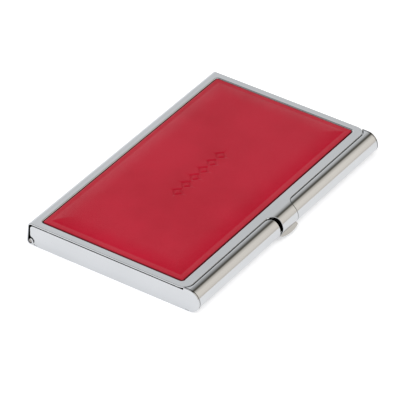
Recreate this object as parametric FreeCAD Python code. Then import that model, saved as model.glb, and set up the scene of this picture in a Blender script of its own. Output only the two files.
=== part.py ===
import FreeCAD, Part
import math
import os

# Pocket case for visiting cards: a sheet-metal tray and a hinged lid with a padded leather inlay.
# Millimetres. X runs along the hinge, Y from the thumb lip at the front to the hinge at the rear, Z up.
# The origin is the middle of the case's outline, on the surface that the case lies on.

# Whole case
case_length = 93.0
case_depth = 59.0            # thumb lip to hinge barrel
lid_top = 7.3                # outer face of the lid's sheet
sheet = 0.35                 # metal thickness, lid and tray
end_x = case_length / 2
rear_y = case_depth / 2
lip_front_y = -case_depth / 2

# Front edge
lip_overhang = 0.5           # thumb lip, ahead of the rolled bar
roll_radius = lid_top / 2    # outside of the rolled bar
roll_y = lip_front_y + lip_overhang + roll_radius
roll_z = roll_radius
roll_flat = 0.18             # level strip on top of the bar, behind its round part
lid_gap = 0.4                # groove between the bar and the lid's front edge
lid_front_y = roll_y + roll_flat + lid_gap
under_lid_gap = 0.36         # lid's underside to whatever it closes on
seat_z = lid_top - sheet - under_lid_gap
ledge_depth = 2.6            # set-down ledge that the lid's front edge closes over

# Tongue of the lid, which fills the cut-out in the bar
tongue_x = -0.3
tongue_half_width = 3.85
tongue_flare = 3.0           # concave radius where the tongue leaves the lid
tongue_wrap = 146.0          # degrees round the bar, from the top
slot_gap_left = 1.5
slot_gap_right = 0.1
slot_flare_left = 2.5
slot_flare_right = tongue_flare - slot_gap_right
slot_low_y = roll_y - 1.5    # front of what is left of the bar under the tongue
slot_split_z = 1.5           # height where the cut-out's two cuts meet
slot_margin = 9.0            # reach beyond the cut-out in which the ledge is kept whole
tongue_root = 0.5            # tongue's overlap with the lid
lip_half_width = 5.0
lip_slope = 32.0             # degrees that the lip falls towards its edge
lip_root = 128.0             # degrees round the bar to where the lip leaves the tongue
lip_clear = 0.12             # lip to the bar's front, beyond the cut-out
lid_corner = 3.0             # lid's front corners, in plan

# Hinge
barrel_radius = 1.1
bore_lid = 0.7               # lid's knuckles run on the pin
bore_base = 0.66             # tray's knuckles hold the pin
pin_radius = 0.65
hinge_y = rear_y - barrel_radius
hinge_z = barrel_radius
knuckle_ends = [-end_x, -32.5, -9.0, 9.0, 32.5, end_x]
knuckle_gap = 0.15           # half of the gap between two knuckles
knuckle_wrap = 262.0         # degrees of curl
wall_lean = 0.35             # rear wall leans out this much from its top bend to the barrel
bend_radius = 1.1
bend_y = rear_y - wall_lean - bend_radius
bend_z = lid_top - bend_radius
floor_setback = 0.1          # floor's rear edge to the barrel
floor_rear_y = hinge_y - barrel_radius - floor_setback
wall_notch_z = hinge_z + barrel_radius + 0.35
pin_recess = 0.2             # pin's end, inside the case's end face

# End plates
plate_rear_y = 28.35
plate_corner = 1.2
plate_low_rear_y = 26.95     # rear edge beside the hinge barrel
plate_heel = 0.75            # radius of the corner above the barrel
plate_foot = 0.3
seam = 0.25                  # open seam between a plate and the end of the bar
weld_flange = 2.0
flange_setback = 1.0         # flange ends to the plate's ends

# Pan in the lid and the inlay
pan_side = 2.35              # lid's side edge to the pan
pan_front = 2.92
pan_rear = 3.05
pan_depth = 1.0
pan_corner = 0.9
rim_round = 0.35             # pressed rim where the frame turns down into the pan
edge_round = 0.12            # broken edges of the sheet metal
inlay_gap = 0.33             # inlay to the pan's walls
adhesive = 0.1
adhesive_inset = 0.8         # edge of the adhesive, inside the leather's
smallest_corner = 0.3
board = 0.5
leather = 0.5
crown = 0.7
crown_slope = 4.5
plateau_corner = 1.5
rim_step = 0.1               # inlay's rim, above the lid

# Card spring and magnet
spring_thickness = 0.25
spring_width = 9.0
spring_root_x = -26.0
spring_foot_length = 8.0
spring_arm_length = 50.0
spring_rise = 2.5
spring_tip_drop = 0.8
spring_tip_length = 3.0
spring_y = 1.0
spring_clear = 0.05
spring_bow = 0.15            # arm's rise above a straight line, at its middle
tip_middle_run = 0.55        # where the tip's bend passes, in shares of its length and drop
tip_middle_drop = 0.25
tip_end_run = 0.6            # slant of the tip's cut end, in thicknesses
tip_end_rise = 0.8
magnet_size = (12.0, 2.0, 1.0)
magnet_setback = 0.4         # behind the bar's level strip

# Cutting tools reach this far past what they cut
spare = 1.0


def vec(x, y, z):
    return FreeCAD.Vector(x, y, z)


def box(x0, x1, y0, y1, z0, z1):
    return Part.makeBox(x1 - x0, y1 - y0, z1 - z0, vec(x0, y0, z0))


def on_circle(centre, radius, degrees):
    """Point of a circle in the section plane, as (y, z). Zero degrees points to the rear, 90 up."""
    angle = math.radians(degrees)
    return centre[0] + radius * math.cos(angle), centre[1] + radius * math.sin(angle)


def outline(start, steps, place):
    """Closed face from a start point and steps: an end point for a line, (middle, end) for an arc."""
    edges = []
    here = start
    for step in steps + [start]:
        if isinstance(step[0], tuple):
            middle, end = step
            edges.append(Part.Arc(place(here), place(middle), place(end)).toShape())
        else:
            end = step
            if place(here).distanceToPoint(place(end)) < 1e-6:
                continue
            edges.append(Part.makeLine(place(here), place(end)))
        here = end
    return Part.Face(Part.Wire(edges))


def section(start, steps, x0, x1):
    """Solid with one cross-section, given as (y, z) points, from x0 to x1."""
    face = outline(start, steps, lambda p: vec(x0, p[0], p[1]))
    return face.extrude(vec(x1 - x0, 0, 0))


def plan(start, steps, z0, z1):
    """Solid with one outline seen from above, given as (x, y) points, from z0 to z1."""
    face = outline(start, steps, lambda p: vec(p[0], p[1], z0))
    return face.extrude(vec(0, 0, z1 - z0))


def curl(centre, outer, inner, from_degrees, to_degrees, x0, x1):
    """Curled sheet: part of a ring about a line parallel to X."""
    middle = (from_degrees + to_degrees) / 2
    start = on_circle(centre, outer, from_degrees)
    steps = [
        (on_circle(centre, outer, middle), on_circle(centre, outer, to_degrees)),
        on_circle(centre, inner, to_degrees),
        (on_circle(centre, inner, middle), on_circle(centre, inner, from_degrees)),
    ]
    return section(start, steps, x0, x1)


def edge_boxes(shape):
    return [(edge, edge.BoundBox) for edge in shape.Edges]


def round_upright_edges(solid, radius, wanted=lambda x, y: True):
    """Round the edges that run along Z and stand where wanted(x, y) is true."""
    edges = []
    for edge, b in edge_boxes(solid):
        upright = b.XLength < 1e-6 and b.YLength < 1e-6
        if upright and wanted(b.XMin, b.YMin):
            edges.append(edge)
    return solid.makeFillet(radius, edges)


def round_box(x0, x1, y0, y1, z0, z1, radius):
    return round_upright_edges(box(x0, x1, y0, y1, z0, z1), radius)


def tongue_outline(left, right, backs, front_y, flares, z0, z1):
    """Strip that runs forward, with a concave flare at each side of its root.

    backs holds the y where the left and the right flare end, and flares their radii.
    """
    back_left, back_right = backs
    flare_left, flare_right = flares
    top_y = max(backs) + spare
    diagonal_left = flare_left * (1 - math.sqrt(0.5))
    diagonal_right = flare_right * (1 - math.sqrt(0.5))
    start = (left - flare_left, back_left)
    steps = [
        ((left - diagonal_left, back_left - diagonal_left), (left, back_left - flare_left)),
        (left, front_y),
        (right, front_y),
        (right, back_right - flare_right),
        ((right + diagonal_right, back_right - diagonal_right), (right + flare_right, back_right)),
        (right + flare_right, top_y),
        (left - flare_left, top_y),
    ]
    return plan(start, steps, z0, z1)


def knuckle_spans(first):
    """X spans of every other knuckle, starting with the given one. Spans at the case's ends are flush."""
    spans = []
    for index in range(first, len(knuckle_ends) - 1, 2):
        low, high = knuckle_ends[index], knuckle_ends[index + 1]
        x0 = low if low == -end_x else low + knuckle_gap
        x1 = high if high == end_x else high - knuckle_gap
        spans.append((x0, x1))
    return spans


def slot_sides():
    """X of the two sides of the cut-out in the bar."""
    left = tongue_x - tongue_half_width - slot_gap_left
    right = tongue_x + tongue_half_width + slot_gap_right
    return left, right


def corner_arc():
    """Centre (distance from the middle, y) and radius of the tray's edge round a corner of the lid.

    It is the lid's own corner, moved forward by the groove's width.
    """
    return end_x - lid_corner, lid_front_y - lid_gap + lid_corner, lid_corner


def corner_fill(side):
    """Corner of the tray's top, level with the lid, which follows the lid's rounded front corner."""
    reach, centre_y, radius = corner_arc()
    bar_x = end_x - sheet - seam
    turn = math.asin((bar_x - reach) / radius)
    front_y = roll_y + roll_flat - sheet
    steps = [
        (
            (side * (reach + radius * math.sin(turn / 2)), centre_y - radius * math.cos(turn / 2)),
            (side * bar_x, centre_y - radius * math.cos(turn)),
        ),
        (side * bar_x, front_y),
        (side * reach, front_y),
    ]
    return plan((side * reach, centre_y - radius), steps, lid_top - sheet, lid_top)


def base_tray():
    roll = (roll_y, roll_z)
    inner = roll_radius - sheet
    bar_x = end_x - sheet - seam
    shape = box(-end_x, end_x, roll_y, floor_rear_y, 0, sheet)
    shape = shape.fuse(curl(roll, roll_radius, inner, 90, 270, -bar_x, bar_x))
    strip_end = roll_y + roll_flat
    shape = shape.fuse(box(-bar_x, bar_x, roll_y, strip_end, lid_top - sheet, lid_top))
    wall = box(-bar_x, bar_x, strip_end - sheet, strip_end, seat_z - sheet, lid_top - sheet)
    ledge = box(-bar_x, bar_x, strip_end - sheet, strip_end + ledge_depth, seat_z - sheet, seat_z)
    shape = shape.fuse([wall, ledge])
    shape = shape.fuse([corner_fill(-1), corner_fill(1)])
    for x0, x1 in knuckle_spans(1):
        tab = box(x0, x1, floor_rear_y, hinge_y, 0, sheet)
        ring = curl((hinge_y, hinge_z), barrel_radius, bore_base, -90, knuckle_wrap - 90, x0, x1)
        shape = shape.fuse([tab, ring])
    left, right = slot_sides()
    flares = (slot_flare_left, slot_flare_right)
    backs = (strip_end, lid_front_y - slot_gap_right)
    upper_cut = tongue_outline(left, right, backs, lip_front_y, flares, slot_split_z, lid_top + spare)
    reach = slot_margin
    ledge_kept = box(left - reach, right + reach, strip_end, strip_end + reach, 0, lid_top + spare)
    lower_cut = box(left, right, lip_front_y, slot_low_y, -spare, slot_split_z)
    shape = shape.cut(upper_cut.cut(ledge_kept)).cut(lower_cut).removeSplitter()
    top_edges = []
    for edge, b in edge_boxes(shape):
        if b.ZMin > lid_top - 1e-6 and b.YMin > strip_end - 1e-6:
            top_edges.append(edge)
    return shape.makeFillet(edge_round, top_edges)


def end_plate(side):
    """Short side wall for side -1 (left) or +1 (right), with a narrow flange welded to the floor.

    Its nose covers the end of the rolled bar.
    """
    centre = (roll_y, roll_z)
    corner = (plate_rear_y - plate_corner, seat_z - plate_corner)
    barrel_top = hinge_z + barrel_radius
    reach, arc_y, arc_radius = corner_arc()
    nose_end_y = arc_y - math.sqrt(arc_radius ** 2 - (end_x - sheet - reach) ** 2)
    heel_centre = (plate_rear_y - plate_heel, barrel_top + plate_heel + lid_gap)
    start = (roll_y, sheet)
    steps = [
        on_circle(centre, roll_radius, 270),
        (on_circle(centre, roll_radius, 180), on_circle(centre, roll_radius, 90)),
        (nose_end_y, lid_top),
        (nose_end_y, seat_z),
        (corner[0], seat_z),
        (on_circle(corner, plate_corner, 45), (plate_rear_y, corner[1])),
        (plate_rear_y, heel_centre[1]),
        (on_circle(heel_centre, plate_heel, -45), (heel_centre[0], heel_centre[1] - plate_heel)),
        (plate_low_rear_y + plate_foot, barrel_top),
        (plate_low_rear_y, barrel_top - plate_foot),
        (plate_low_rear_y, sheet),
    ]
    outer = side * end_x
    inner = side * (end_x - sheet)
    plate = section(start, steps, outer, inner)
    flange_inner = side * (end_x - sheet - weld_flange)
    x0, x1 = sorted([outer, flange_inner])
    front_y, back_y = roll_y + flange_setback, plate_low_rear_y - flange_setback
    flange = box(x0, x1, front_y, back_y, sheet, 2 * sheet)
    face_edges = [edge for edge, b in edge_boxes(plate) if b.XLength < 1e-6 and abs(b.XMin - outer) < 1e-6]
    plate = plate.makeFillet(edge_round, face_edges)
    return plate.fuse(flange).removeSplitter()


def pan_walls(margin, z0, z1):
    """Rounded block that fills the pan, grown outward by margin."""
    x = end_x - pan_side + margin
    y0 = lid_front_y + pan_front - margin
    y1 = rear_y - wall_lean - pan_rear + margin
    return round_box(-x, x, y0, y1, z0, z1, pan_corner + margin)


def on_bar(edge):
    """True for an edge that lies on the outer face of the rolled bar and runs round it."""
    for vertex in edge.Vertexes:
        if vertex.Z > lid_top - 1e-6:
            continue
        if abs(math.hypot(vertex.Y - roll_y, vertex.Z - roll_z) - roll_radius) > 1e-6:
            return False
    return edge.BoundBox.ZLength > 1e-6 and edge.BoundBox.YMax < roll_y + 1e-6


def round_lid_edges(shape):
    """Round the pressed rim where the frame turns down into the pan, and break the lid's outer edges."""
    pan = pan_walls(edge_round / 10, lid_top - sheet, lid_top).BoundBox
    rim = []
    outer = []
    for edge, b in edge_boxes(shape):
        smooth = b.YLength < 1e-6 and abs(b.YMin - roll_y) < 1e-6
        if on_bar(edge):
            outer.append(edge)
        elif b.ZMin < lid_top - 1e-6 or smooth:
            continue
        elif b.XMin > pan.XMin and b.XMax < pan.XMax and b.YMin > pan.YMin and b.YMax < pan.YMax:
            rim.append(edge)
        elif b.YMin < bend_y - 1e-6:
            outer.append(edge)
    return shape.makeFillet(edge_round, outer).makeFillet(rim_round, rim)


def lid_shell():
    frame = box(-end_x, end_x, lid_front_y, bend_y, lid_top - sheet, lid_top)
    frame = round_upright_edges(frame, lid_corner, lambda x, y: y < 0)
    floor_z = lid_top - pan_depth - sheet
    shape = frame.fuse(pan_walls(sheet, floor_z, lid_top))
    shape = shape.cut(pan_walls(0, floor_z + sheet, lid_top + spare))
    bend = (bend_y, bend_z)
    wall = section(
        (bend_y, lid_top),
        [
            (on_circle(bend, bend_radius, 45), on_circle(bend, bend_radius, 0)),
            (rear_y, hinge_z),
            (rear_y - sheet, hinge_z),
            on_circle(bend, bend_radius - sheet, 0),
            (on_circle(bend, bend_radius - sheet, 45), (bend_y, lid_top - sheet)),
        ],
        -end_x,
        end_x,
    )
    for x0, x1 in knuckle_spans(1):
        reach = 2 * knuckle_gap
        wall = wall.cut(box(x0 - reach, x1 + reach, 0, rear_y + spare, 0, wall_notch_z))
    shape = shape.fuse(wall)
    for x0, x1 in knuckle_spans(0):
        shape = shape.fuse(curl((hinge_y, hinge_z), barrel_radius, bore_lid, -knuckle_wrap, 0, x0, x1))
    shape = shape.fuse([tongue(), thumb_lip()]).removeSplitter()
    return round_lid_edges(shape)


def tongue():
    """Curved tongue, flush with the rolled bar on each side of it."""
    left = tongue_x - tongue_half_width
    right = tongue_x + tongue_half_width
    reach = tongue_flare + tongue_root
    x0, x1 = left - reach, right + reach
    shell = curl((roll_y, roll_z), roll_radius, roll_radius - sheet, 90, 90 + tongue_wrap, x0, x1)
    shell = shell.fuse(box(x0, x1, roll_y, lid_front_y + tongue_root, lid_top - sheet, lid_top))
    flares = (tongue_flare, tongue_flare)
    backs = (lid_front_y, lid_front_y)
    front_y = lip_front_y - spare
    return shell.common(tongue_outline(left, right, backs, front_y, flares, 0, lid_top + spare))


def thumb_lip():
    """Half-oval that the thumb lifts. It falls towards its edge, and is narrower where it passes the bar."""
    root_y, root_z = on_circle((roll_y, roll_z), roll_radius - sheet, 90 + lip_root)
    slope = math.radians(lip_slope)
    level_reach = root_y - lip_front_y - edge_round - (sheet - edge_round) * math.sin(slope)
    reach = level_reach / math.cos(slope) + edge_round
    oval = Part.Ellipse(vec(0, 0, 0), lip_half_width, reach)
    lip = Part.Face(Part.Wire(oval.toShape())).extrude(vec(0, 0, sheet))
    rims = [edge for edge, b in edge_boxes(lip) if b.ZLength < 1e-6]
    lip = lip.makeFillet(edge_round, rims)
    lip.rotate(vec(0, 0, 0), vec(1, 0, 0), lip_slope)
    lip.translate(vec(tongue_x, root_y, root_z))
    left, right = slot_sides()
    bar_front_y = roll_y - roll_radius
    ahead = box(-end_x, end_x, lip_front_y - spare, bar_front_y - lip_clear, 0, lid_top)
    within = box(left + lid_gap, right - slot_gap_right, lip_front_y - spare, roll_y, 0, lid_top)
    hollow = Part.makeCylinder(roll_radius - sheet, case_length, vec(-end_x, roll_y, roll_z), vec(1, 0, 0))
    return lip.common(ahead.fuse(within)).cut(hollow)


def hinge_pin():
    length = case_length - 2 * pin_recess
    pin = Part.makeCylinder(pin_radius, length, vec(-length / 2, hinge_y, hinge_z), vec(1, 0, 0))
    rims = [edge for edge, b in edge_boxes(pin) if b.XLength < 1e-6]
    return pin.makeFillet(edge_round, rims)


def inlay_block(inset, z0, z1, slope=0.0, rise=0.0):
    """Rounded rectangle that follows the pan, with an optional sloping crown on top."""
    x = end_x - pan_side - inlay_gap - inset
    y0 = lid_front_y + pan_front + inlay_gap + inset
    y1 = rear_y - wall_lean - pan_rear - inlay_gap - inset
    radius = max(pan_corner - inlay_gap - inset, smallest_corner)
    if not rise:
        return round_box(-x, x, y0, y1, z0, z1, radius)
    low = rectangle_wire(-x, x, y0, y1, z1, radius)
    high = rectangle_wire(-x + slope, x - slope, y0 + slope, y1 - slope, z1 + rise, plateau_corner)
    top = Part.makeLoft([low, high], True, True)
    if z1 - z0 < 1e-6:
        return top
    return top.fuse(round_box(-x, x, y0, y1, z0, z1, radius)).removeSplitter()


def rectangle_wire(x0, x1, y0, y1, z, radius):
    """Rounded rectangle at height z."""
    faces = round_box(x0, x1, y0, y1, z, z + 1, radius).Faces
    return min(faces, key=lambda face: face.CenterOfMass.z).OuterWire


def pan_floor_z():
    return lid_top - pan_depth


def adhesive_sheet():
    z = pan_floor_z()
    return inlay_block(adhesive_inset, z, z + adhesive)


def backing_board():
    z = pan_floor_z() + adhesive
    return inlay_block(leather, z, z + board)


def foam_pad():
    z = pan_floor_z() + adhesive + board
    rim = lid_top + rim_step - leather
    return inlay_block(leather, z, rim, crown_slope, crown)


def leather_cover():
    z = pan_floor_z() + adhesive
    rim = lid_top + rim_step
    outside = inlay_block(0, z, rim, crown_slope, crown)
    return outside.cut(inlay_block(leather, z, rim - leather, crown_slope, crown))


def card_spring_foot():
    x1 = spring_root_x - spring_clear
    y0, y1 = spring_y - spring_width / 2, spring_y + spring_width / 2
    return box(x1 - spring_foot_length, x1, y0, y1, sheet, sheet + spring_thickness)


def card_spring_arm():
    """Leaf that slopes up from its root and turns down at its tip."""
    x0 = spring_root_x
    x1 = x0 + spring_arm_length
    x2 = x1 + spring_tip_length
    z0 = sheet + spring_clear
    z1 = z0 + spring_rise
    z2 = z1 - spring_tip_drop
    t = spring_thickness
    y0 = spring_y - spring_width / 2
    middle = ((x0 + x1) / 2, (z0 + z1) / 2 + spring_bow)
    tip_middle = (x1 + tip_middle_run * spring_tip_length, z1 - tip_middle_drop * spring_tip_drop)
    steps = [
        (middle, (x1, z1)),
        (tip_middle, (x2, z2)),
        (x2 + t * tip_end_run, z2 + t * tip_end_rise),
        ((tip_middle[0], tip_middle[1] + t), (x1, z1 + t)),
        ((middle[0], middle[1] + t), (x0, z0 + t)),
    ]
    face = outline((x0, z0), steps, lambda p: vec(p[0], y0, p[1]))
    return face.extrude(vec(0, spring_width, 0))


def closing_magnet():
    long, deep, tall = magnet_size
    y0 = roll_y + roll_flat + magnet_setback
    top = seat_z - sheet
    return box(tongue_x - long / 2, tongue_x + long / 2, y0, y0 + deep, top - tall, top)


nodes = {
    "base_tray": base_tray(),
    "end_plate_left": end_plate(-1),
    "end_plate_right": end_plate(1),
    "hinge_pin": hinge_pin(),
    "card_spring_foot": card_spring_foot(),
    "card_spring_arm": card_spring_arm(),
    "closing_magnet": closing_magnet(),
    "lid_shell": lid_shell(),
    "adhesive_sheet": adhesive_sheet(),
    "backing_board": backing_board(),
    "foam_pad": foam_pad(),
    "leather_cover": leather_cover(),
}

os.makedirs("parts", exist_ok=True)
for name, shape in nodes.items():
    shape.exportStep("parts/" + name + ".step")
    size = shape.optimalBoundingBox()
    spans = "x %.2f %.2f  y %.2f %.2f  z %.2f %.2f" % (
        size.XMin, size.XMax, size.YMin, size.YMax, size.ZMin, size.ZMax)
    print("%-16s solids %d  valid %s  volume %8.2f  %s" % (
        name, len(shape.Solids), shape.isValid(), shape.Volume, spans))
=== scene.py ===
import math

import bmesh
import bpy
import numpy as np
from mathutils import Matrix, Vector


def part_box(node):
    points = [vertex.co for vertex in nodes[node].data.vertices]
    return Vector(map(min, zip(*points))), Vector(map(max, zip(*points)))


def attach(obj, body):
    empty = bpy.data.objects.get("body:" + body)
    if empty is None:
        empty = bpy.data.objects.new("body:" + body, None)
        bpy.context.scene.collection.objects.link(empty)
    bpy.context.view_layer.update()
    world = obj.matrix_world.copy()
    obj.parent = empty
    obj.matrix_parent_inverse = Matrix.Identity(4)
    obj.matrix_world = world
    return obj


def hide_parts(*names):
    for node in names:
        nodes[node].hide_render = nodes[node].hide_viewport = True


# Looks of a pocket case for visiting cards: plated sheet metal with a padded leather inlay in the lid.
# Metres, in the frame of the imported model: X along the hinge, Y from thumb lip to hinge, Z up.

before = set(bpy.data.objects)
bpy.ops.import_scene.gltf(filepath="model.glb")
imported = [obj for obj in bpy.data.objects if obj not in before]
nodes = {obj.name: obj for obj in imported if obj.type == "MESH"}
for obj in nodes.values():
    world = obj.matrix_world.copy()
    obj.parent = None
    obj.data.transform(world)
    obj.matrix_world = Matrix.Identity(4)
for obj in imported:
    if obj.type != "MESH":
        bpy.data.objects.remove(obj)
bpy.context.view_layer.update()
mm = 0.001

# Camera
camera_aim = Vector((-6.163, -1.962, 4.0)) * mm
camera_azimuth = math.radians(-56.402)
camera_elevation = math.radians(35.989)
camera_roll = math.radians(0.809)
camera_distance = 1.024
camera_lens = 324.0

# Leather inlay, in millimetres. Distances run inward from the outline of the leather.
leather_thickness = 0.5
outline_corner = 0.6          # corner of the outline, in plan
corner_growth = 0.4           # how much faster than the outline the inner contours round off
edge_roll = 0.35              # radius where the leather turns down
crease = 1.6                  # shallow crease round the padding
crease_depth = 0.035
crease_width = 0.35
slope_end = 7.2               # where the padding's shoulder runs out into the plateau
slope_power = 2.3
shoulder_rise = 0.62
crown_rise = 0.06             # further rise from shoulder to the middle
foam_clear = 0.03             # air between the foam and the leather
dye_and_shade_below = 0.26             # the leather is fully darkened this far below its rim: dyed edge, with painted shade of the gap round it
dye_and_shade_from = 0.06              # and the darkening fades in from here
rim_highlight_band = 0.12            # height over which the painted highlight on the rim fades out
sharp_angle = math.radians(50)

# Blind-pressed row of lozenges on the leather, in millimetres
motif_centre = (-0.2, 0.2)    # from the middle of the leather
motif_count = 6
motif_pitch = 4.35
motif_half = (1.6, 1.5)
motif_stroke = 0.2            # half of the pressed line's width
motif_soften = 0.2
motif_depth = 0.24
motif_margin = 0.5            # the fine mesh reaches this far past the lozenges

# Steps between the mesh lines, in millimetres
turn_lines = 6                # lines across the turned-down edge
strip_step = 0.2
shoulder_step = 0.37
plateau_step = 1.5
motif_step = 0.16
side_step = 0.3
lining_step = 1.2             # inside of the leather
foam_step = 0.6
foam_edge_step = 1.0
inner_start = 1.0             # first inner loop past the leather's thickness


# Mesh of the leather and of the foam under it

def spaced(low, high, step):
    """Evenly spaced values from low to high, about step apart."""
    count = max(1, round((high - low) / step))
    return list(np.linspace(low, high, count + 1))


def edge_distances():
    """Distances of the mesh lines from the outline, closest together where the leather turns down."""
    turn = [edge_roll * (1 - math.cos(angle)) for angle in np.linspace(0, math.pi / 2, turn_lines)]
    strip = spaced(edge_roll, crease, strip_step)
    shoulder = spaced(crease, slope_end, shoulder_step)
    return turn + strip[1:] + shoulder[1:]


def mesh_lines(half, detail_low, detail_high):
    """Coordinates of the mesh lines across one direction, fine where the motif is pressed."""
    edge = edge_distances()
    inner = half - slope_end
    left = [-half + distance for distance in edge]
    right = [half - distance for distance in reversed(edge)]
    middle = spaced(-inner, detail_low, plateau_step)
    middle += spaced(detail_low, detail_high, motif_step)[1:]
    middle += spaced(detail_high, inner, plateau_step)[1:]
    return np.array(left + middle[1:-1] + right)


def rounded(x, y, half_x, half_y, radius):
    """Points of a rectangle, moved in where its corners are rounded."""
    over_x = np.abs(x) - (half_x - radius)
    over_y = np.abs(y) - (half_y - radius)
    corner = (over_x > 0) & (over_y > 0)
    length = np.hypot(over_x, over_y) + 1e-12
    reach = np.maximum(over_x, over_y)
    moved_x = np.sign(x) * (half_x - radius + over_x / length * reach)
    moved_y = np.sign(y) * (half_y - radius + over_y / length * reach)
    return np.where(corner, moved_x, x), np.where(corner, moved_y, y)


def inward_distance(x, y, half_x, half_y):
    """Distance from a rounded rectangle's outline, with contours that round off towards the middle."""
    u = half_x - np.abs(x)
    v = half_y - np.abs(y)
    flat = np.minimum(u, v)
    growth = corner_growth
    p = outline_corner - u
    q = outline_corner - v
    a = 2 * (1 + growth) ** 2 - growth ** 2
    b = 2 * ((1 + growth) * (p + q) - outline_corner * growth)
    c = p ** 2 + q ** 2 - outline_corner ** 2
    root = (-b - np.sqrt(np.maximum(b * b - 4 * a * c, 0))) / (2 * a)
    centre = outline_corner + (1 + growth) * root
    in_corner = (u < centre) & (v < centre)
    return np.clip(np.where(in_corner, root, flat), 0, None)


def shoulder_height(distance):
    """Height of the leather's outside above its rim, by distance from the outline."""
    turn = np.clip(1 - distance / edge_roll, 0, 1)
    height = edge_roll * (np.sqrt(1 - turn ** 2) - 1)
    along = np.clip((distance - crease) / (slope_end - crease), 0, 1)
    height = height + shoulder_rise * (1 - (1 - along) ** slope_power)
    across = (distance - crease) / crease_width
    height = height - crease_depth * np.exp(-across ** 2)
    return height


def motif_depth_at(x, y):
    """Depth of the pressed lozenge outlines at points of the leather."""
    depth = np.zeros_like(x)
    for index in range(motif_count):
        centre_x = motif_centre[0] + (index - (motif_count - 1) / 2) * motif_pitch
        across = np.abs(x - centre_x) / motif_half[0] + np.abs(y - motif_centre[1]) / motif_half[1]
        distance = np.abs(across - 1) * motif_half[0] * motif_half[1] / math.hypot(*motif_half)
        press = np.clip((motif_stroke + motif_soften - distance) / motif_soften, 0, 1)
        press = press * press * (3 - 2 * press)
        depth = np.maximum(depth, motif_depth * press)
    return depth


class Shell:
    """Collects vertices and faces, in millimetres about the middle of the inlay."""

    def __init__(self, centre):
        self.centre = centre
        self.points = []
        self.faces = []

    def add(self, x, y, z):
        start = len(self.points)
        for point in zip(x, y, np.broadcast_to(z, np.shape(x))):
            self.points.append((point[0] + self.centre[0], point[1] + self.centre[1], point[2]))
        return list(range(start, len(self.points)))

    def bridge(self, first, second):
        """Band of faces between two closed loops of equal length."""
        for k in range(len(first)):
            after = (k + 1) % len(first)
            self.faces.append((first[k], first[after], second[after], second[k]))

    def cap(self, loop):
        self.faces.append(tuple(loop))

    def piece(self, name):
        """Object of the given name, in metres."""
        mesh = bpy.data.meshes.new(name)
        mesh.from_pydata([Vector(point) * mm for point in self.points], [], self.faces)
        mesh.validate()
        solid = bmesh.new()
        solid.from_mesh(mesh)
        bmesh.ops.recalc_face_normals(solid, faces=solid.faces)
        solid.to_mesh(mesh)
        solid.free()
        mesh.polygons.foreach_set("use_smooth", [True] * len(mesh.polygons))
        mesh.set_sharp_from_angle(angle=sharp_angle)
        made = bpy.data.objects.new(name, mesh)
        bpy.context.scene.collection.objects.link(made)
        return made


def perimeter(lines_x, lines_y):
    """Rectangle through the outermost mesh lines, as points in order, starting at the low corner."""
    x = list(lines_x[:-1]) + [lines_x[-1]] * (len(lines_y) - 1)
    x += list(lines_x[:0:-1]) + [lines_x[0]] * (len(lines_y) - 1)
    y = [lines_y[0]] * (len(lines_x) - 1) + list(lines_y[:-1])
    y += [lines_y[-1]] * (len(lines_x) - 1) + list(lines_y[:0:-1])
    return np.array(x), np.array(y)


def inset_loop(shell, lines, half, inset, z):
    """Loop of the outline moved inward by inset, with as many points as the outline."""
    x, y = perimeter(*lines)
    scale_x = (half[0] - inset) / half[0]
    scale_y = (half[1] - inset) / half[1]
    radius = outline_corner + corner_growth * inset
    x, y = rounded(x * scale_x, y * scale_y, half[0] - inset, half[1] - inset, radius)
    return shell.add(x, y, z)


def top_surface(shell, lines, half, rim_z):
    """Outside of the leather, and its boundary loop."""
    x, y = np.meshgrid(*lines)
    ring = np.minimum(half[0] - np.abs(x), half[1] - np.abs(y))
    fade = np.clip((slope_end - ring) / slope_end, 0, 1)
    radius = outline_corner * fade
    x, y = rounded(x, y, half[0] - ring, half[1] - ring, radius)
    distance = inward_distance(x, y, *half)
    crown = (1 - (x / half[0]) ** 2) * (1 - (y / half[1]) ** 2)
    z = rim_z + shoulder_height(distance) + crown_rise * crown * np.clip(distance / slope_end, 0, 1)
    z = z - motif_depth_at(x, y)
    index = np.array(shell.add(x.ravel(), y.ravel(), z.ravel())).reshape(x.shape)
    rows, columns = x.shape
    for j in range(rows - 1):
        for i in range(columns - 1):
            shell.faces.append((index[j, i], index[j, i + 1], index[j + 1, i + 1], index[j + 1, i]))
    loop = list(index[0, :-1]) + list(index[:-1, -1])
    loop += list(index[-1, :0:-1]) + list(index[:0:-1, 0])
    return loop


def inlay_frame():
    """Middle, half size, underside and rim height of the leather, in millimetres, from its CAD solid."""
    low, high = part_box("leather_cover")
    centre = (low + high) / 2 / mm
    half = (high - low) / 2 / mm
    rim_z = high.z / mm - shoulder_rise - crown_rise
    return centre, (half.x, half.y), low.z / mm, rim_z


def leather_piece():
    """Leather as a closed shell: outside, turned-down edge and lining."""
    centre, half, underside, rim_z = inlay_frame()
    reach = (motif_count - 1) / 2 * motif_pitch + motif_half[0] + motif_margin
    lines_x = mesh_lines(half[0], motif_centre[0] - reach, motif_centre[0] + reach)
    reach = motif_half[1] + motif_margin
    lines_y = mesh_lines(half[1], motif_centre[1] - reach, motif_centre[1] + reach)
    lines = (lines_x, lines_y)
    shell = Shell(centre)
    loop = top_surface(shell, lines, half, rim_z)
    for z in spaced(rim_z - edge_roll, underside, side_step)[1:]:
        below = inset_loop(shell, lines, half, 0, z)
        shell.bridge(loop, below)
        loop = below
    inside = inset_loop(shell, lines, half, leather_thickness, underside)
    shell.bridge(loop, inside)
    for inset in [leather_thickness] + spaced(inner_start, slope_end, lining_step):
        z = rim_z - leather_thickness + float(shoulder_height(np.array(inset)))
        above = inset_loop(shell, lines, half, inset, z)
        shell.bridge(inside, above)
        inside = above
    shell.cap(inside)
    return shell.piece("leather_inlay")


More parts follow.
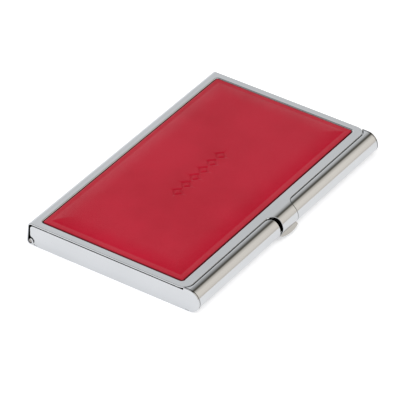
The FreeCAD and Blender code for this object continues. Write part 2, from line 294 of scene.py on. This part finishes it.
def foam_piece():
    """Foam that fills the space between the backing board and the leather."""
    centre, half, _, rim_z = inlay_frame()
    board_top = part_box("backing_board")[1].z / mm
    lines = tuple(np.array(spaced(-reach, reach, foam_edge_step)) for reach in half)
    shell = Shell(centre)
    side = leather_thickness + foam_clear
    loop = inset_loop(shell, lines, half, side, board_top)
    shell.cap(loop)
    for inset in [side] + spaced(inner_start, slope_end, foam_step):
        z = rim_z - leather_thickness - foam_clear + float(shoulder_height(np.array(inset)))
        above = inset_loop(shell, lines, half, inset, max(z, board_top + foam_clear))
        shell.bridge(loop, above)
        loop = above
    shell.cap(loop)
    return shell.piece("foam_padding")


# Materials

class Graph:
    """Short way to write a node tree."""

    def __init__(self, tree):
        self.tree = tree

    def node(self, kind, **settings):
        made = self.tree.nodes.new(kind)
        for name, value in settings.items():
            setattr(made, name, value)
        return made

    def link(self, source, target):
        self.tree.links.new(source, target)

    def noise(self, vector, scale, detail=3.0, roughness=0.5):
        made = self.node("ShaderNodeTexNoise")
        made.inputs["Scale"].default_value = scale
        made.inputs["Detail"].default_value = detail
        made.inputs["Roughness"].default_value = roughness
        self.link(vector, made.inputs["Vector"])
        return made.outputs["Fac"]

    def stretched(self, vector, scale):
        made = self.node("ShaderNodeMapping")
        made.inputs["Scale"].default_value = scale
        self.link(vector, made.inputs["Vector"])
        return made.outputs["Vector"]

    def ranged(self, value, low, high, to_low, to_high, smooth=False):
        made = self.node("ShaderNodeMapRange", clamp=True)
        if smooth:
            made.interpolation_type = "SMOOTHSTEP"
        self.link(value, made.inputs["Value"])
        made.inputs["From Min"].default_value = low
        made.inputs["From Max"].default_value = high
        made.inputs["To Min"].default_value = to_low
        made.inputs["To Max"].default_value = to_high
        return made.outputs["Result"]

    def ramp(self, value, stops):
        """Colour ramp through stops of (position, colour), given in order."""
        made = self.node("ShaderNodeValToRGB")
        elements = made.color_ramp.elements
        elements[0].position, elements[0].color = stops[0][0], (*stops[0][1], 1)
        elements[1].position, elements[1].color = stops[-1][0], (*stops[-1][1], 1)
        for position, colour in stops[1:-1]:
            elements.new(position).color = (*colour, 1)
        self.link(value, made.inputs["Fac"])
        return made.outputs["Color"]

    def maths(self, operation, first, second):
        made = self.node("ShaderNodeMath", operation=operation)
        for socket, value in zip(made.inputs, (first, second)):
            if isinstance(value, (int, float)):
                socket.default_value = value
            else:
                self.link(value, socket)
        return made.outputs["Value"]

    def mix(self, factor, first, second):
        """Colour mix. Sockets 0, 6 and 7 of the node are its factor and its two colours."""
        made = self.node("ShaderNodeMix", data_type="RGBA")
        self.link(factor, made.inputs[0])
        self.link(first, made.inputs[6])
        self.link(second, made.inputs[7])
        return made.outputs[2]

    def bump(self, height, strength, distance):
        made = self.node("ShaderNodeBump")
        made.inputs["Strength"].default_value = strength
        made.inputs["Distance"].default_value = distance
        self.link(height, made.inputs["Height"])
        return made.outputs["Normal"]


def new_material(name):
    """Material with a principled shader, its graph, and object coordinates."""
    made = bpy.data.materials.new(name)
    made.use_nodes = True
    graph = Graph(made.node_tree)
    shader = made.node_tree.nodes["Principled BSDF"]
    place = graph.node("ShaderNodeTexCoord").outputs["Object"]
    return made, graph, shader, place


def metal(name, dark, light, roughness, grain, bump=0.03):
    """Metal with faint smudges and fine rubbing marks along X. grain is the marks' size in metres."""
    made, graph, shader, place = new_material(name)
    shader.inputs["Metallic"].default_value = 1.0
    smudge = graph.noise(place, 45.0)
    rub_marks_and_highlight = graph.noise(graph.stretched(place, (0.04 / grain, 1 / grain, 1 / grain)), 1.0, detail=2.0)
    graph.link(graph.ramp(smudge, [(0.3, dark), (0.7, light)]), shader.inputs["Base Color"])
    spread = graph.maths("ADD", graph.maths("MULTIPLY", smudge, 0.6), graph.maths("MULTIPLY", rub_marks_and_highlight, 0.4))
    graph.link(graph.ranged(spread, 0.35, 0.65, *roughness), shader.inputs["Roughness"])
    graph.link(graph.bump(rub_marks_and_highlight, bump, 0.00002), shader.inputs["Normal"])
    return made


def leather_material(edge_low, edge_high):
    """Smooth red leather with a fine closed grain, darker where it turns down below edge_high: dyed, with
    painted shade of the gap round it.

    The rim just above edge_high is paler, a painted highlight. Both heights are in metres.
    """
    cloud_scale, warp_scale, pore_scale, fine_scale = 60.0, 900.0, 2600.0, 7000.0   # features per metre
    warp_reach = 0.0004
    made, graph, shader, place = new_material("red_leather")
    cloudy = graph.noise(place, cloud_scale, detail=4.0)
    pores = graph.node("ShaderNodeTexVoronoi", feature="DISTANCE_TO_EDGE")
    pores.inputs["Scale"].default_value = pore_scale
    warp = graph.noise(place, warp_scale)
    bent = graph.node("ShaderNodeVectorMath", operation="MULTIPLY_ADD")
    graph.link(warp, bent.inputs[0])
    bent.inputs[1].default_value = (warp_reach, warp_reach, warp_reach)
    graph.link(place, bent.inputs[2])
    graph.link(bent.outputs["Vector"], pores.inputs["Vector"])
    fine = graph.noise(place, fine_scale, detail=2.0)
    grain = graph.ranged(pores.outputs["Distance"], 0.0, 0.16, 0.0, 1.0, smooth=True)
    height = graph.maths("ADD", grain, graph.maths("MULTIPLY", fine, 0.35))
    tone = graph.maths("ADD", graph.maths("MULTIPLY", cloudy, 0.85), graph.maths("MULTIPLY", grain, 0.15))
    deep, bright, edge = (0.41, 0.003, 0.019), (0.48, 0.006, 0.027), (0.14, 0.004, 0.009)
    rim_highlight_dark, rim_highlight_light = (0.42, 0.018, 0.034), (0.50, 0.028, 0.048)
    split = graph.node("ShaderNodeSeparateXYZ")
    graph.link(place, split.inputs[0])
    # Dye and painted shade: the turned-down edge below edge_high is darkened, both for the dyed edge and for
    # the shade of the gap round it.
    turned_down = graph.ranged(split.outputs["Z"], edge_low, edge_high, 1, 0, smooth=True)
    face = graph.ramp(tone, [(0.35, deep), (0.65, bright)])
    dye_and_shade = graph.ramp(cloudy, [(0.0, edge), (1.0, tuple(2 * part for part in edge))])
    rub_marks_and_highlight = graph.ramp(cloudy, [(0.2, rim_highlight_dark), (0.8, rim_highlight_light)])
    # Painted highlight: a paler, pinker band on the rim just above edge_high, where the turned edge catches
    # light.
    rim_highlight_top = edge_high + rim_highlight_band * mm
    rim_highlight_mask = graph.ranged(split.outputs["Z"], edge_high, rim_highlight_top, 0.8, 0, smooth=True)
    face = graph.mix(rim_highlight_mask, face, rub_marks_and_highlight)
    graph.link(graph.mix(turned_down, face, dye_and_shade), shader.inputs["Base Color"])
    graph.link(graph.ranged(tone, 0.3, 0.7, 0.42, 0.34), shader.inputs["Roughness"])
    graph.link(graph.bump(height, 0.32, 0.00004), shader.inputs["Normal"])
    shader.inputs["Specular IOR Level"].default_value = 0.17
    return made


def soft_material(name, dark, light, cell, roughness):
    """Matt material whose tone and surface vary by cells of the given size in metres."""
    made, graph, shader, place = new_material(name)
    speckle = graph.noise(place, 1 / cell, detail=5.0, roughness=0.65)
    graph.link(graph.ramp(speckle, [(0.35, dark), (0.65, light)]), shader.inputs["Base Color"])
    graph.link(graph.ranged(speckle, 0.3, 0.7, roughness, roughness - 0.12), shader.inputs["Roughness"])
    graph.link(graph.bump(speckle, 0.5, cell / 3), shader.inputs["Normal"])
    return made


def dress(names, material):
    """Gives the named CAD nodes one material."""
    for name in names:
        slots = nodes[name].data.materials
        slots.clear()
        slots.append(material)


# Studio

def studio_floor():
    """Pale matt floor just below the part. It glows a little, so that it renders white."""
    mesh = bpy.data.meshes.new("studio_floor")
    reach = 4.0
    below = -0.01 * mm
    corners = [(-reach, -reach, below), (reach, -reach, below), (reach, reach, below), (-reach, reach, below)]
    mesh.from_pydata(corners, [], [(0, 1, 2, 3)])
    floor = bpy.data.objects.new("studio_floor", mesh)
    bpy.context.scene.collection.objects.link(floor)
    made, _, shader, _ = new_material("pale_floor")
    shader.inputs["Base Color"].default_value = (0.90, 0.905, 0.92, 1)
    shader.inputs["Roughness"].default_value = 0.9
    shader.inputs["Emission Color"].default_value = (1.0, 1.0, 1.0, 1)
    shader.inputs["Emission Strength"].default_value = 0.37
    mesh.materials.append(made)


def studio_sky():
    """Soft surround for the metal to mirror.

    Towards +X it runs from a warm wall at -Y, over a dark flag near Y = 0, to a cool and then a white wall
    at +Y. Towards -X it is pale, and darker upwards. The ceiling is dim except towards -Y, and the horizon is
    a little dimmer than the rest.
    """
    world = bpy.data.worlds.new("studio")
    world.use_nodes = True
    bpy.context.scene.world = world
    graph = Graph(world.node_tree)
    direction = graph.node("ShaderNodeTexCoord").outputs["Generated"]
    split = graph.node("ShaderNodeSeparateXYZ")
    graph.link(direction, split.inputs[0])
    x, y, z = split.outputs
    warm, flag, grey = (1.08, 1.01, 0.91), (0.14, 0.13, 0.11), (0.77, 0.77, 0.76)
    cool, white = (0.86, 0.87, 0.88), (1.2, 1.22, 1.25)
    warm_dim, warm_dark, grey_dark = (0.88, 0.83, 0.75), (0.62, 0.58, 0.51), (0.50, 0.50, 0.49)
    left_low, left_high = (1.05, 1.05, 1.03), (0.72, 0.73, 0.75)
    across = graph.ranged(y, -1, 1, 0, 1)
    stops = [(0.0, warm), (0.25, warm), (0.33, warm_dim), (0.386, warm_dark), (0.435, flag), (0.50, flag)]
    stops += [(0.555, grey_dark), (0.60, grey), (0.66, grey), (0.724, cool), (0.85, white), (1.0, white)]
    right_side = graph.ramp(across, stops)
    left_side = graph.ramp(z, [(0.0, left_low), (1.0, left_high)])
    colour = graph.mix(graph.ranged(x, 0.15, 0.45, 0, 1, smooth=True), left_side, right_side)
    ceiling = graph.ranged(z, 0.62, 0.84, 0, 0.85, smooth=True)
    ceiling = graph.maths("MULTIPLY", ceiling, graph.ranged(y, -0.1, 0.2, 0, 1, smooth=True))
    skyline = graph.ranged(z, 0.05, 0.35, 0.86, 1, smooth=True)
    strength = graph.maths("MULTIPLY", graph.maths("SUBTRACT", 1.0, ceiling), skyline)
    background = world.node_tree.nodes["Background"]
    graph.link(colour, background.inputs["Color"])
    graph.link(strength, background.inputs["Strength"])


def soft_light(name, direction, distance, size, power):
    """Square soft box aimed at the origin. It lights the scene but isn't mirrored in the metal."""
    data = bpy.data.lights.new(name, "AREA")
    data.size = size
    data.energy = power
    light = bpy.data.objects.new(name, data)
    towards = Vector(direction).normalized()
    light.location = towards * distance
    light.rotation_euler = towards.to_track_quat("Z", "Y").to_euler()
    light.visible_glossy = False
    light.visible_camera = False
    bpy.context.scene.collection.objects.link(light)


def studio_camera():
    """Long lens aimed at camera_aim from the given azimuth and elevation."""
    data = bpy.data.cameras.new("camera")
    data.lens = camera_lens
    data.sensor_width = 36.0
    data.clip_start = 0.01
    level = math.cos(camera_elevation)
    back_x = math.sin(camera_azimuth) * level
    back_y = -math.cos(camera_azimuth) * level
    back = Vector((back_x, back_y, math.sin(camera_elevation)))
    turn = back.to_track_quat("Z", "Y").to_matrix().to_4x4() @ Matrix.Rotation(camera_roll, 4, "Z")
    camera = bpy.data.objects.new("camera", data)
    camera.matrix_world = Matrix.Translation(camera_aim + back * camera_distance) @ turn
    bpy.context.scene.collection.objects.link(camera)
    bpy.context.scene.camera = camera


bpy.context.scene.view_settings.view_transform = "Standard"
studio_camera()
studio_floor()
studio_sky()
soft_light("key_light", direction=(-0.3, 0.0, 0.8), distance=0.26, size=0.3, power=0.33)

chrome = metal("bright_plating", dark=(0.55, 0.56, 0.575), light=(0.585, 0.595, 0.61),
               roughness=(0.045, 0.09), grain=0.00025)
wire = metal("drawn_wire", dark=(0.27, 0.25, 0.24), light=(0.34, 0.32, 0.31),
             roughness=(0.16, 0.28), grain=0.0002, bump=0.1)
spring_steel = metal("tempered_strip", dark=(0.36, 0.37, 0.39), light=(0.46, 0.47, 0.49),
                     roughness=(0.22, 0.36), grain=0.0003, bump=0.15)
ferrite = soft_material("plated_magnet", dark=(0.10, 0.10, 0.11), light=(0.20, 0.20, 0.21),
                        cell=0.0008, roughness=0.45)
tape = soft_material("adhesive_film", dark=(0.62, 0.58, 0.48), light=(0.74, 0.71, 0.62),
                     cell=0.002, roughness=0.6)
fibreboard = soft_material("fibre_board", dark=(0.24, 0.20, 0.15), light=(0.36, 0.31, 0.24),
                           cell=0.0006, roughness=0.9)
foam = soft_material("pale_foam", dark=(0.70, 0.68, 0.60), light=(0.86, 0.84, 0.77),
                     cell=0.0004, roughness=0.95)
dress(["base_tray", "end_plate_left", "end_plate_right", "lid_shell"], chrome)
dress(["hinge_pin"], wire)
dress(["card_spring_foot", "card_spring_arm"], spring_steel)
dress(["closing_magnet"], ferrite)
dress(["adhesive_sheet"], tape)
dress(["backing_board"], fibreboard)

inlay = leather_piece()
rim_height = inlay_frame()[3]
edge_low, edge_high = (rim_height - dye_and_shade_below) * mm, (rim_height - dye_and_shade_from) * mm
inlay.data.materials.append(leather_material(edge_low, edge_high))
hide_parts("leather_cover")
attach(inlay, "lid")

padding = foam_piece()
padding.data.materials.append(foam)
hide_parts("foam_pad")
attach(padding, "lid")
